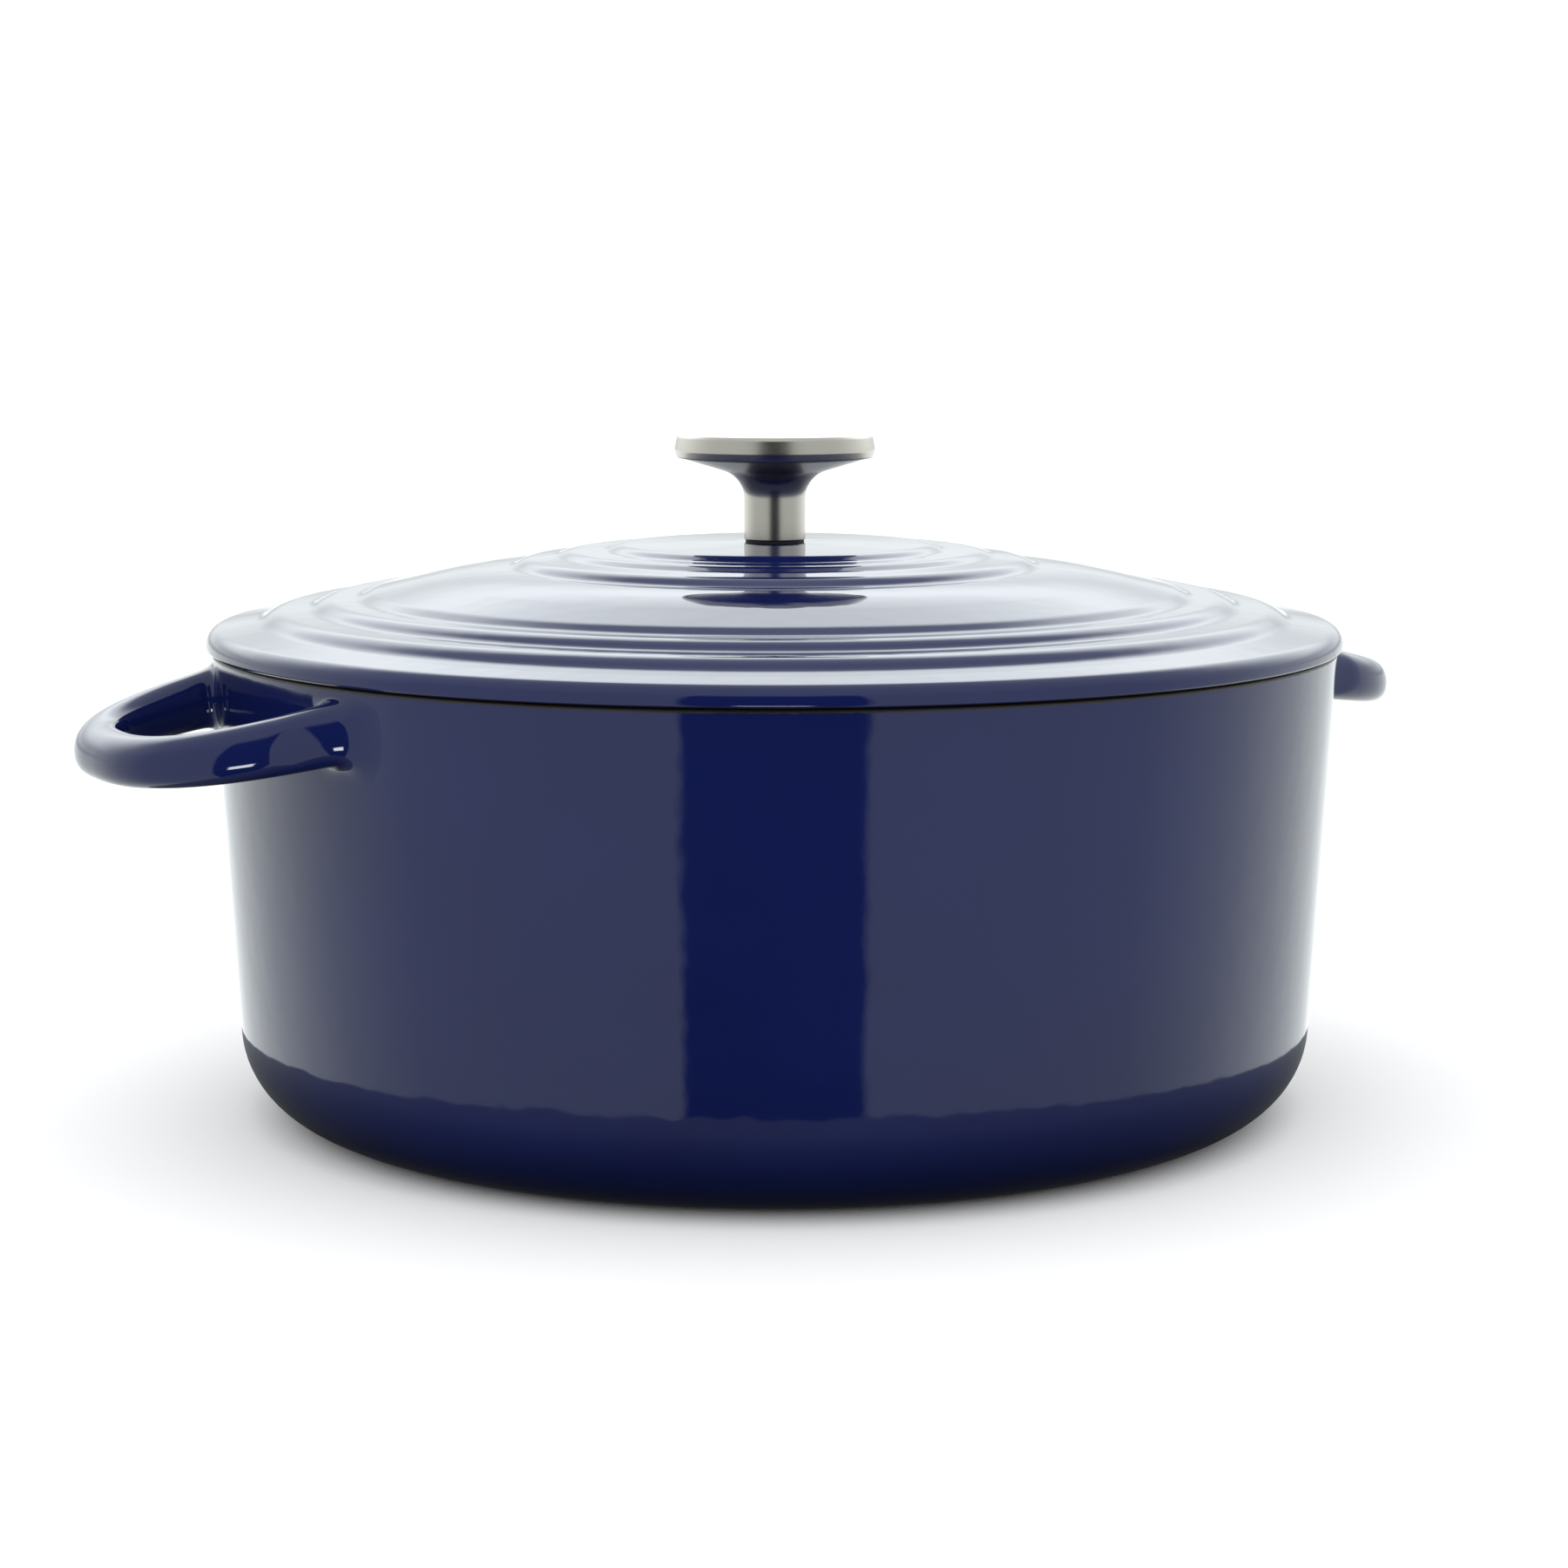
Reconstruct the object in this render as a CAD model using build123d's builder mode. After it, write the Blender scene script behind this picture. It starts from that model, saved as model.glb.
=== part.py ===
"""Round enamelled cast iron dutch oven with a lift-off lid and a steel knob.

Millimetres, +Z up. The origin is the centre of the base, on the surface the
pot stands on. The two loop handles lie along X.
"""
from build123d import *
from math import hypot, sqrt
import os

os.makedirs("parts", exist_ok=True)

# ---------------------------------------------------------------- dimensions
# Pot casting
RIM_HEIGHT = 111.1          # top of the rim, where the lid sits
RIM_RADIUS = 133.8          # outside of the wall at the rim
BASE_RADIUS = 128.6         # outside of the wall where the bottom corner starts
CORNER_RADIUS = 21.0        # outside corner between the wall and the base
WALL = 3.7
FLOOR = 4.6
FOOT_INNER = 86.0           # inside of the flat ring the pot stands on
FOOT_HEIGHT = 0.6           # the base is hollowed this much inside that ring
RIM_ROUND = 0.9             # rounding of the two rim edges

# Loop handles, cast with the pot; heights are taken at the root and at the tip
HANDLE_ROOT = 118.0         # start of the loop's blank, inside the wall
HANDLE_TIP = 171.0          # reach of the loop from the pot's axis
HANDLE_HALF_WIDTH = 43.5    # centre line of the loop to the outside of an arm
HANDLE_THICKNESS = 10.5     # the loop's bar seen from above
HANDLE_CORNER = 34.0        # outside corner of the loop seen from above
HANDLE_ROOT_TOP = 110.1
HANDLE_ROOT_BOTTOM = 95.6
HANDLE_TIP_TOP = 98.2
HANDLE_TIP_BOTTOM = 88.0
HANDLE_ROUND = 4.4          # rounding of the bar's long edges
HANDLE_FILLET = 3.0         # fillet where an arm leaves the wall

# Lid casting; its heights are above the seat
LID_GAP = 0.2               # air between the rim and the seat
LID_RADIUS = 135.0
LID_HEIGHT = 23.7
LID_EDGE = 4.2              # upright edge, before its corner is rounded
EDGE_ROUND = 3.6
# Terraces: outer radius, height of that edge, fall of the riser below it
INNER_TERRACES = [(37.0, 23.1, 1.3), (49.0, 21.7, 1.1), (59.5, 19.9, 1.8)]
OUTER_TERRACES = [(96.0, 12.6, 1.5), (107.0, 11.0, 2.0), (119.0, 8.5, 2.2)]
RISER_RUN = 3.2             # width of each riser
TERRACE_ROUND = 3.5         # rounding of the corners between treads and risers
CROWN = (74.0, 17.6)        # where the third terrace turns into the plain dome
CROWN_ROUND = 110.0
BROW = (126.2, 5.6)         # where the last terrace turns down to the edge
LID_THICKNESS = 4.9         # at the centre
DISH_RISE = 1.6             # underside above the seat where it meets the flange
FLANGE_OUTER = 128.6        # ring under the lid that drops inside the rim
FLANGE_INNER = 124.4
FLANGE_DEPTH = 5.0
FLANGE_ROUND = 1.2
PAD_RADIUS = 10.0           # flat under the knob screw
# Basting nibs under the lid: radius of each ring and how many nibs it has
NIB_RINGS = [(35.0, 10), (62.0, 16), (92.0, 24)]
NIB_RADIUS = 2.6
NIB_TIP_RADIUS = 0.9
NIB_HEIGHT = 2.8
NIB_ROOT = 1.0              # how far a nib's cone runs up into the lid

# Knob; its heights are above the lid's top
GASKET = 0.5
GASKET_RADIUS = 7.0
STEM_RADIUS = 7.35
STEM_BORE = 5.8
NECK_HEIGHT = 15.4          # where the stem's line meets the flare's
NECK_FILLET = 7.0
FLARE_RADIUS = 22.2
FLARE_HEIGHT = 19.9         # outer edge of the flare
CAP_RADIUS = 24.0
CAP_SHOULDER = 23.2         # radius of the cap's upper corner
CAP_BOTTOM = 20.0
CAP_WIDEST = 22.0           # height where the cap is widest
CAP_TOP = 25.6              # height of the upper corner
CAP_CENTRE = 27.0
CAP_ROUND = 1.3
SHEET = 1.2                 # sheet the cap and the flare are pressed from

# M6 screw, insert and washers
SCREW_RADIUS = 3.0
SCREW_HOLE = 3.5
SCREW_GRIP = 8.0            # screw inside the insert
INSERT_LENGTH = 9.0
FIT = 0.02                  # clearance between pieces that are pressed or screwed together
WASHER_BORE = 3.3
FLAT_WASHER = (7.0, 1.2)    # outer radius and thickness
SPRING_WASHER = (5.4, 1.4)
SPRING_SPLIT = 1.0
HEAD = (5.6, 3.6)           # radius and height of the screw's pan head
HEAD_ROUND = 2.0
RECESS = (6.2, 1.2, 2.0)    # length, width and depth of each slot of the cross recess

# ---------------------------------------------------------------- worked out
LID_SEAT = RIM_HEIGHT + LID_GAP
LID_TOP = LID_SEAT + LID_HEIGHT
PAD_Z = LID_TOP - LID_THICKNESS
KNOB_FOOT = LID_TOP + GASKET
HEAD_TOP = PAD_Z - FLAT_WASHER[1] - SPRING_WASHER[1]
CAP_INNER = FLARE_RADIUS + FIT
WALL_DRAFT = (RIM_RADIUS - BASE_RADIUS) / (RIM_HEIGHT - CORNER_RADIUS)
HEEL_RADIUS = BASE_RADIUS - WALL_DRAFT * CORNER_RADIUS   # the wall's line where it meets the base
LOOP_BLANK_Z = HANDLE_TIP_BOTTOM - 1
LOOP_BLANK = HANDLE_ROOT_TOP + 1 - LOOP_BLANK_Z


def dome_fall(radius, edge_radius, edge_fall):
    """How far a sphere drops at a radius, given its drop at the edge radius."""
    sphere = (edge_radius**2 + edge_fall**2) / (2 * edge_fall)
    return sphere - sqrt(sphere**2 - radius**2)


def dish_height(radius):
    """Height of the lid's underside, a shallow sphere from the screw pad to the flange."""
    return PAD_Z - dome_fall(radius, FLANGE_INNER, PAD_Z - LID_SEAT - DISH_RISE)


def cap_height(radius):
    """Height of the domed top of the knob's cap."""
    return LID_TOP + CAP_CENTRE - dome_fall(radius, CAP_SHOULDER, CAP_CENTRE - CAP_TOP)


def terrace_points(terraces):
    """Top and foot of each terrace's riser, from the centre outwards."""
    points = []
    for radius, height, fall in terraces:
        points.append((radius, LID_SEAT + height))
        points.append((radius + RISER_RUN, LID_SEAT + height - fall))
    return points


def loop_plan(inset):
    """Plan of a handle loop, inset from its outside and open inside the wall."""
    reach = HANDLE_TIP - inset - HANDLE_ROOT
    with BuildSketch(Plane.XY.offset(LOOP_BLANK_Z)) as plan:
        with Locations((HANDLE_ROOT + reach / 2, 0)):
            Rectangle(reach, 2 * (HANDLE_HALF_WIDTH - inset))
        fillet(plan.vertices().group_by(Axis.X)[-1], HANDLE_CORNER - inset)
    return plan.sketch


def is_root(edge):
    """True for the edges along which an arm of a handle meets the wall."""
    centre = edge.center()
    on_arm = HANDLE_TIP_BOTTOM < centre.Z < RIM_HEIGHT - RIM_ROUND
    return on_arm and hypot(centre.X, centre.Y) < RIM_RADIUS and abs(centre.X) > HANDLE_ROOT


# -------------------------------------------------------------------- handle
# One loop on the +X side: its plan, cut to the slopes of its top and underside
with BuildPart() as handle:
    extrude(loop_plan(0), amount=LOOP_BLANK)
    extrude(loop_plan(HANDLE_THICKNESS), amount=LOOP_BLANK, mode=Mode.SUBTRACT)
    with BuildSketch(Plane.XZ) as loop_side:
        with BuildLine():
            Polyline(
                (HANDLE_ROOT, HANDLE_ROOT_BOTTOM),
                (HANDLE_TIP, HANDLE_TIP_BOTTOM),
                (HANDLE_TIP, HANDLE_TIP_TOP),
                (HANDLE_ROOT, HANDLE_ROOT_TOP),
                close=True,
            )
        make_face()
    extrude(amount=HANDLE_HALF_WIDTH, both=True, mode=Mode.INTERSECT)
    upright = handle.edges().filter_by(Axis.Z)
    in_wall = handle.edges().group_by(Axis.X)[0]
    fillet(handle.edges() - upright - in_wall, HANDLE_ROUND)

# ----------------------------------------------------------------------- pot
# Outside with its two handles first, then the cavity and the hollow of the base
with BuildPart() as pot:
    with BuildSketch(Plane.XZ) as outside:
        with BuildLine():
            Polyline(
                (0, 0), (HEEL_RADIUS, 0), (RIM_RADIUS, RIM_HEIGHT), (0, RIM_HEIGHT), close=True
            )
        make_face()
        fillet(outside.vertices().sort_by_distance((HEEL_RADIUS, 0))[0], CORNER_RADIUS)
        fillet(outside.vertices().sort_by_distance((RIM_RADIUS, RIM_HEIGHT))[0], RIM_ROUND)
    revolve(axis=Axis.Z)
    add(handle.part)
    add(handle.part.rotate(Axis.Z, 180))
    fillet(pot.edges().filter_by(is_root), HANDLE_FILLET)
    with BuildSketch(Plane.XZ) as cavity:
        with BuildLine():
            Polyline(
                (0, FLOOR),
                (HEEL_RADIUS - WALL, FLOOR),
                (RIM_RADIUS - WALL, RIM_HEIGHT),
                (0, RIM_HEIGHT),
                close=True,
            )
        make_face()
        heel = cavity.vertices().sort_by_distance((HEEL_RADIUS - WALL, FLOOR))[0]
        fillet(heel, CORNER_RADIUS - WALL)
    revolve(axis=Axis.Z, mode=Mode.SUBTRACT)
    with BuildSketch(Plane.XZ) as foot_hollow:
        with BuildLine():
            Polyline(
                (0, 0),
                (FOOT_INNER, 0),
                (FOOT_INNER - 2 * FOOT_HEIGHT, FOOT_HEIGHT),
                (0, FOOT_HEIGHT),
                close=True,
            )
        make_face()
    revolve(axis=Axis.Z, mode=Mode.SUBTRACT)
    rim_circles = pot.edges().filter_by(GeomType.CIRCLE).group_by(Axis.Z)[-1]
    fillet(rim_circles.sort_by(SortBy.RADIUS)[0], RIM_ROUND)
pot.part.label = "pot"
export_step(pot.part, "parts/pot.step")

# ----------------------------------------------------------------------- lid
# Terraced dome with a dished underside, a locating flange and basting nibs
lid_top_line = [
    (0, LID_TOP),
    (PAD_RADIUS, LID_TOP),
    *terrace_points(INNER_TERRACES),
    (CROWN[0], LID_SEAT + CROWN[1]),
    *terrace_points(OUTER_TERRACES),
    (BROW[0], LID_SEAT + BROW[1]),
    (LID_RADIUS, LID_SEAT + LID_EDGE),
    (LID_RADIUS, LID_SEAT),
]
inner_corners = 1 + 2 * len(INNER_TERRACES)
outer_corners = 2 * len(OUTER_TERRACES) + 1
lid_top_radii = [TERRACE_ROUND] * inner_corners + [CROWN_ROUND]
lid_top_radii += [TERRACE_ROUND] * outer_corners + [EDGE_ROUND]
with BuildPart() as lid:
    for ring_radius, nib_count in NIB_RINGS:
        with Locations((0, 0, dish_height(ring_radius) - NIB_HEIGHT)):
            with PolarLocations(ring_radius, nib_count):
                Cone(
                    bottom_radius=NIB_TIP_RADIUS,
                    top_radius=NIB_RADIUS,
                    height=NIB_HEIGHT + NIB_ROOT,
                    align=(Align.CENTER, Align.CENTER, Align.MIN),
                )
    with BuildSketch(Plane.XZ) as lid_half:
        with BuildLine():
            FilletPolyline(*lid_top_line, radius=lid_top_radii)
            Polyline(
                (LID_RADIUS, LID_SEAT),
                (FLANGE_OUTER, LID_SEAT),
                (FLANGE_OUTER, LID_SEAT - FLANGE_DEPTH),
                (FLANGE_INNER, LID_SEAT - FLANGE_DEPTH),
                (FLANGE_INNER, dish_height(FLANGE_INNER)),
            )
            ThreePointArc(
                (FLANGE_INNER, dish_height(FLANGE_INNER)),
                (FLANGE_INNER / 2, dish_height(FLANGE_INNER / 2)),
                (PAD_RADIUS, dish_height(PAD_RADIUS)),
            )
            Polyline((PAD_RADIUS, dish_height(PAD_RADIUS)), (PAD_RADIUS, PAD_Z), (0, PAD_Z), (0, LID_TOP))
        make_face()
        for flange_edge in (FLANGE_OUTER, FLANGE_INNER):
            corner = (flange_edge, LID_SEAT - FLANGE_DEPTH)
            fillet(lid_half.vertices().sort_by_distance(corner)[0], FLANGE_ROUND)
    revolve(axis=Axis.Z)
    with Locations((0, 0, LID_TOP)):
        Hole(SCREW_HOLE)
lid.part.label = "lid"
export_step(lid.part, "parts/lid.step")

# ------------------------------------------------------------------ knob cap
# Domed disc with a rolled rim, hollow underneath
with BuildPart() as knob_cap:
    with BuildSketch(Plane.XZ) as cap_half:
        with BuildLine():
            ThreePointArc(
                (0, cap_height(0)),
                (CAP_SHOULDER / 2, cap_height(CAP_SHOULDER / 2)),
                (CAP_SHOULDER, cap_height(CAP_SHOULDER)),
            )
            Polyline(
                (CAP_SHOULDER, cap_height(CAP_SHOULDER)),
                (CAP_RADIUS, LID_TOP + CAP_WIDEST),
                (CAP_RADIUS - SHEET / 2, LID_TOP + CAP_BOTTOM),
                (CAP_INNER, LID_TOP + CAP_BOTTOM),
                (CAP_INNER, cap_height(CAP_INNER) - SHEET),
            )
            ThreePointArc(
                (CAP_INNER, cap_height(CAP_INNER) - SHEET),
                (CAP_INNER / 2, cap_height(CAP_INNER / 2) - SHEET),
                (0, cap_height(0) - SHEET),
            )
            Line((0, cap_height(0) - SHEET), (0, cap_height(0)))
        make_face()
        shoulder = (CAP_SHOULDER, cap_height(CAP_SHOULDER))
        widest = (CAP_RADIUS, LID_TOP + CAP_WIDEST)
        for corner in (shoulder, widest):
            fillet(cap_half.vertices().sort_by_distance(corner)[0], CAP_ROUND)
    revolve(axis=Axis.Z)
knob_cap.part.label = "knob_cap"
export_step(knob_cap.part, "parts/knob_cap.step")

# ----------------------------------------------------------------- knob stem
# Tube that flares out under the cap through a concave neck
with BuildPart() as knob_stem:
    with BuildSketch(Plane.XZ) as stem_half:
        with BuildLine():
            Polyline(
                (STEM_BORE, KNOB_FOOT),
                (STEM_RADIUS, KNOB_FOOT),
                (STEM_RADIUS, LID_TOP + NECK_HEIGHT),
                (FLARE_RADIUS, LID_TOP + FLARE_HEIGHT),
                (FLARE_RADIUS, LID_TOP + FLARE_HEIGHT + SHEET),
                (STEM_BORE, LID_TOP + NECK_HEIGHT + SHEET),
                close=True,
            )
        make_face()
        neck = (STEM_RADIUS, LID_TOP + NECK_HEIGHT)
        fillet(stem_half.vertices().sort_by_distance(neck)[0], NECK_FILLET)
    revolve(axis=Axis.Z)
knob_stem.part.label = "knob_stem"
export_step(knob_stem.part, "parts/knob_stem.step")

# ----------------------------------------------------------- threaded insert
with BuildPart() as threaded_insert:
    with BuildSketch(Plane.XY.offset(KNOB_FOOT)):
        Circle(STEM_BORE - FIT)
        Circle(SCREW_RADIUS + FIT, mode=Mode.SUBTRACT)
    extrude(amount=INSERT_LENGTH)
threaded_insert.part.label = "threaded_insert"
export_step(threaded_insert.part, "parts/threaded_insert.step")

# --------------------------------------------------------------- knob gasket
# Thin washer that keeps the steel stem off the enamel
with BuildPart() as knob_gasket:
    with BuildSketch(Plane.XY.offset(LID_TOP)):
        Circle(GASKET_RADIUS)
        Circle(SCREW_HOLE, mode=Mode.SUBTRACT)
    extrude(amount=GASKET)
knob_gasket.part.label = "knob_gasket"
export_step(knob_gasket.part, "parts/knob_gasket.step")

# ------------------------------------------------------- washers and the screw
with BuildPart() as flat_washer:
    with BuildSketch(Plane.XY.offset(PAD_Z - FLAT_WASHER[1])):
        Circle(FLAT_WASHER[0])
        Circle(WASHER_BORE, mode=Mode.SUBTRACT)
    extrude(amount=FLAT_WASHER[1])
flat_washer.part.label = "flat_washer"
export_step(flat_washer.part, "parts/flat_washer.step")

with BuildPart() as spring_washer:
    with BuildSketch(Plane.XY.offset(HEAD_TOP)):
        Circle(SPRING_WASHER[0])
        Circle(WASHER_BORE, mode=Mode.SUBTRACT)
        with Locations((SPRING_WASHER[0], 0)):
            Rectangle(2 * SPRING_WASHER[0] - 2 * SCREW_RADIUS, SPRING_SPLIT, mode=Mode.SUBTRACT)
    extrude(amount=SPRING_WASHER[1])
spring_washer.part.label = "spring_washer"
export_step(spring_washer.part, "parts/spring_washer.step")

# Pan head below the washers, shank up through the lid into the insert
with BuildPart() as knob_screw:
    with BuildSketch(Plane.XY.offset(HEAD_TOP)):
        Circle(HEAD[0])
    extrude(amount=-HEAD[1])
    fillet(knob_screw.edges().group_by(Axis.Z)[0], HEAD_ROUND)
    with BuildSketch(Plane.XY.offset(HEAD_TOP - HEAD[1])):
        Rectangle(RECESS[0], RECESS[1])
        Rectangle(RECESS[1], RECESS[0])
    extrude(amount=RECESS[2], mode=Mode.SUBTRACT)
    with BuildSketch(Plane.XY.offset(HEAD_TOP)):
        Circle(SCREW_RADIUS)
    extrude(amount=KNOB_FOOT + SCREW_GRIP - HEAD_TOP)
knob_screw.part.label = "knob_screw"
export_step(knob_screw.part, "parts/knob_screw.step")
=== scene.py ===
"""Looks of a round enamelled cast iron dutch oven: its two castings, its steel knob and a plain studio.

Metres, +Z up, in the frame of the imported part. Shapes are worked out in millimetres, then turned to metres.
"""
import math

import bmesh
import bpy
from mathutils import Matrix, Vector


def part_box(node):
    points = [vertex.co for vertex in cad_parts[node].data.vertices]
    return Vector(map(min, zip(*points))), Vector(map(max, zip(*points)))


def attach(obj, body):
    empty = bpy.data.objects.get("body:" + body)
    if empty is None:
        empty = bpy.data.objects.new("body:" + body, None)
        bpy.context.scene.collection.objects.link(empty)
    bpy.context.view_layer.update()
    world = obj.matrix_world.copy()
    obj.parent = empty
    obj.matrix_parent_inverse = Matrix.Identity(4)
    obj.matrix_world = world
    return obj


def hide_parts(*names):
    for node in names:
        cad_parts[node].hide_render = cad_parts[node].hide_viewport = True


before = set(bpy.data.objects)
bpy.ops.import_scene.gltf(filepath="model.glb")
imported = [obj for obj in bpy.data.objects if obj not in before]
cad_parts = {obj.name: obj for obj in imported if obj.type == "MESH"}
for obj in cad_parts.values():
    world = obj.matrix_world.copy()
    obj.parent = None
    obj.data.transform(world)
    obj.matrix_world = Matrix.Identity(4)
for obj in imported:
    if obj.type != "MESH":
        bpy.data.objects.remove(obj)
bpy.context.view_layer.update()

MM = 0.001
POT_BODY = "pot"
LID_BODY = "lid"


def top_of(node_name):
    """Highest corner of a CAD node, in millimetres."""
    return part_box(node_name)[1] / MM


# ---------------------------------------------------------------- sizes, millimetres
# Pot casting
RIM_HEIGHT = top_of("pot").z
RIM_RADIUS = top_of("pot").y
WALL = 3.7
FLOOR = 4.6
BASE_CORNER = 21.0              # rounding between the wall and the base
WALL_DRAFT = 5.2 / 90.1         # how fast the wall leans out, going up
HEEL_RADIUS = RIM_RADIUS - WALL_DRAFT * RIM_HEIGHT
FOOT_INNER = 86.0
FOOT_HEIGHT = 0.6
RIM_ROUND = 0.9
SMALL_ROUND = 0.4               # rounding of the small edges
FIT = 0.02                      # clearance between pressed pieces

# Loop handles; heights are taken at the root and at the tip
LOOP_ROOT = 118.0
LOOP_TIP = top_of("pot").x
LOOP_HALF_WIDTH = 43.5
LOOP_BAR = 10.5                 # the bar seen from above
ROOT_TOP, ROOT_BOTTOM = 110.1, 95.6
TIP_TOP, TIP_BOTTOM = 98.2, 88.0
LOOP_SQUARENESS = 2.5           # exponent of the loop's outline; 2 is an ellipse
BAR_SQUARENESS = 2.3            # the same for the bar's section
FLARE_OUT, FLARE_IN = 17.0, 8.5     # how far each side of an arm spreads over the wall
FLARE_TOP, FLARE_BOTTOM = 3.0, 6.5
FLARE_CEILING = RIM_HEIGHT - 1.3    # the flare stays under the rounding of the rim
CREST_RUN = 12.0                # the crest starts to rise to the rim this far along the arm
ROOT_DEPTH = 2.2                # how far the arm's end runs into the wall

# Lid casting; heights above its seat
FLANGE_OUTER, FLANGE_INNER, FLANGE_DEPTH, FLANGE_ROUND = 128.6, 124.4, 5.0, 1.2
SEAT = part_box("lid")[0].z / MM + FLANGE_DEPTH
LID_TOP = top_of("lid").z
LID_RADIUS = top_of("lid").x
# Terraces: outer radius, height of that edge, fall of the riser below it
INNER_TERRACES = [(37.0, 23.1, 1.3), (49.0, 21.7, 1.1), (59.5, 19.9, 1.8)]
OUTER_TERRACES = [(96.0, 12.6, 1.5), (107.0, 11.0, 2.0), (119.0, 8.5, 2.2)]
RISER_RUN = 3.2                 # width of each riser
TERRACE_ROUND = 3.5
RISER_TOP_ROUND, RISER_FOOT_ROUND = 8.0, 5.5
CROWN = (74.0, 17.6)            # where the third terrace turns into the plain dome
CROWN_ROUND = 105.0
BROW = (126.2, 5.6)             # where the last terrace turns down to the edge
LID_EDGE = 4.2
EDGE_ROUND = 3.6
LIP_ROUND = 0.7
PAD_RADIUS = 10.0
PAD_HEIGHT = LID_TOP - 4.9
PAD_ROUND = 1.0
DISH_RISE = 1.6                 # underside above the seat, where it meets the flange
DISH_ROUND = 1.5
SEAT_ROUND = 0.5
SCREW_HOLE = 3.5
NIB_RINGS = [(35.0, 10), (62.0, 16), (92.0, 24)]    # radius and number of nibs
NIB_RADIUS, NIB_TIP, NIB_HEIGHT, NIB_ROOT = 2.6, 0.9, 2.8, 1.0

# Knob; heights above the lid's top
KNOB_FOOT = 0.5
STEM_RADIUS, STEM_BORE = 7.35, 5.8
NECK_HEIGHT, NECK_ROUND = 15.4, 7.0
FLARE_RIM = (22.2, 19.9)
CAP_RADIUS = top_of("knob_cap").x
CAP_CENTRE = top_of("knob_cap").z - LID_TOP
CAP_SHOULDER = (23.2, 25.6)
CAP_WIDEST, CAP_BOTTOM = 22.0, 20.0
CAP_ROUND = 1.3
SHEET = 1.2
BEAD = 0.55                     # rolled lower edge of the cap

# Facets
ARC_STEP = math.radians(5)      # turn of one facet on a rounded corner
SUPPORT = 0.8                   # a ring this far from each rounding keeps the long runs flat
TURN_SEGMENTS = 288             # facets round the castings
KNOB_SEGMENTS = 144
NIB_SEGMENTS = 20
DISH_RINGS, CAP_RINGS, CAP_LINING_RINGS = 28, 16, 12
PATH_RADIUS = 1.0               # circle that an outline is swept along
MERGE_DISTANCE = 1e-6           # closes the poles, metres


# ---------------------------------------------------------------- outlines
def corner_reach(corners, i):
    """Length that a corner's rounding takes from the line on each side of it."""
    if corners[i][2] == 0:
        return 0
    here = Vector(corners[i][:2])
    before = Vector(corners[i - 1][:2]) - here
    after = Vector(corners[(i + 1) % len(corners)][:2]) - here
    return corners[i][2] * math.tan((math.pi - before.angle(after)) / 2)


def rounded_line(corners):
    """Outline through corners (radius from the axis, height, rounding), with arcs on the rounded ones.

    An open outline has no rounding at its two ends.
    """
    line = []
    count = len(corners)
    reaches = [corner_reach(corners, i) for i in range(count)]
    for i, (r, z, rounding) in enumerate(corners):
        here = Vector((r, z))
        if rounding == 0:
            line.append(here)
            continue
        before = Vector(corners[i - 1][:2]) - here
        after = Vector(corners[(i + 1) % count][:2]) - here
        turn = math.pi - before.angle(after)
        reach = reaches[i]
        start = here + before.normalized() * reach
        inward = (before.normalized() + after.normalized()).normalized()
        centre = here + inward * (rounding / math.cos(turn / 2))
        steps = max(2, math.ceil(turn / ARC_STEP))
        sign = 1 if before.cross(after) < 0 else -1
        if before.length - reaches[i - 1] > reach + 3 * SUPPORT:
            line.append(start + before.normalized() * SUPPORT)
        spoke = start - centre
        for k in range(steps + 1):
            angle = sign * turn * k / steps
            c, s = math.cos(angle), math.sin(angle)
            line.append(centre + Vector((spoke.x * c - spoke.y * s, spoke.x * s + spoke.y * c)))
        if after.length - reaches[(i + 1) % count] > reach + 3 * SUPPORT:
            line.append(here + after.normalized() * (reach + SUPPORT))
    return line


def dome_fall(radius, edge_radius, edge_fall):
    """How far a sphere drops at a radius, given its drop at the edge radius."""
    sphere = (edge_radius**2 + edge_fall**2) / (2 * edge_fall)
    return sphere - math.sqrt(sphere**2 - radius**2)


def dish_height(radius):
    """Underside of the lid: a shallow sphere from the screw pad to the flange."""
    return PAD_HEIGHT - dome_fall(radius, FLANGE_INNER, PAD_HEIGHT - SEAT - DISH_RISE)


def dome_corners(height_at, start, end, steps):
    """Unrounded corners along a domed surface, between two radii."""
    radii = [start + (end - start) * k / steps for k in range(steps + 1)]
    return [(r, height_at(r), 0) for r in radii]


def terrace_corners(terraces):
    """Top and foot of each terrace's riser, from the centre outwards."""
    corners = []
    for radius, height, fall in terraces:
        corners.append((radius, SEAT + height, RISER_TOP_ROUND))
        corners.append((radius + RISER_RUN, SEAT + height - fall, RISER_FOOT_ROUND))
    return corners


def pot_outline():
    return rounded_line([
        (0, FOOT_HEIGHT, 0),
        (FOOT_INNER - 2 * FOOT_HEIGHT, FOOT_HEIGHT, SMALL_ROUND),
        (FOOT_INNER, 0, SMALL_ROUND),
        (HEEL_RADIUS, 0, BASE_CORNER),
        (RIM_RADIUS, RIM_HEIGHT, RIM_ROUND),
        (RIM_RADIUS - WALL, RIM_HEIGHT, RIM_ROUND),
        (HEEL_RADIUS - WALL, FLOOR, BASE_CORNER - WALL),
        (0, FLOOR, 0),
    ])


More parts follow.
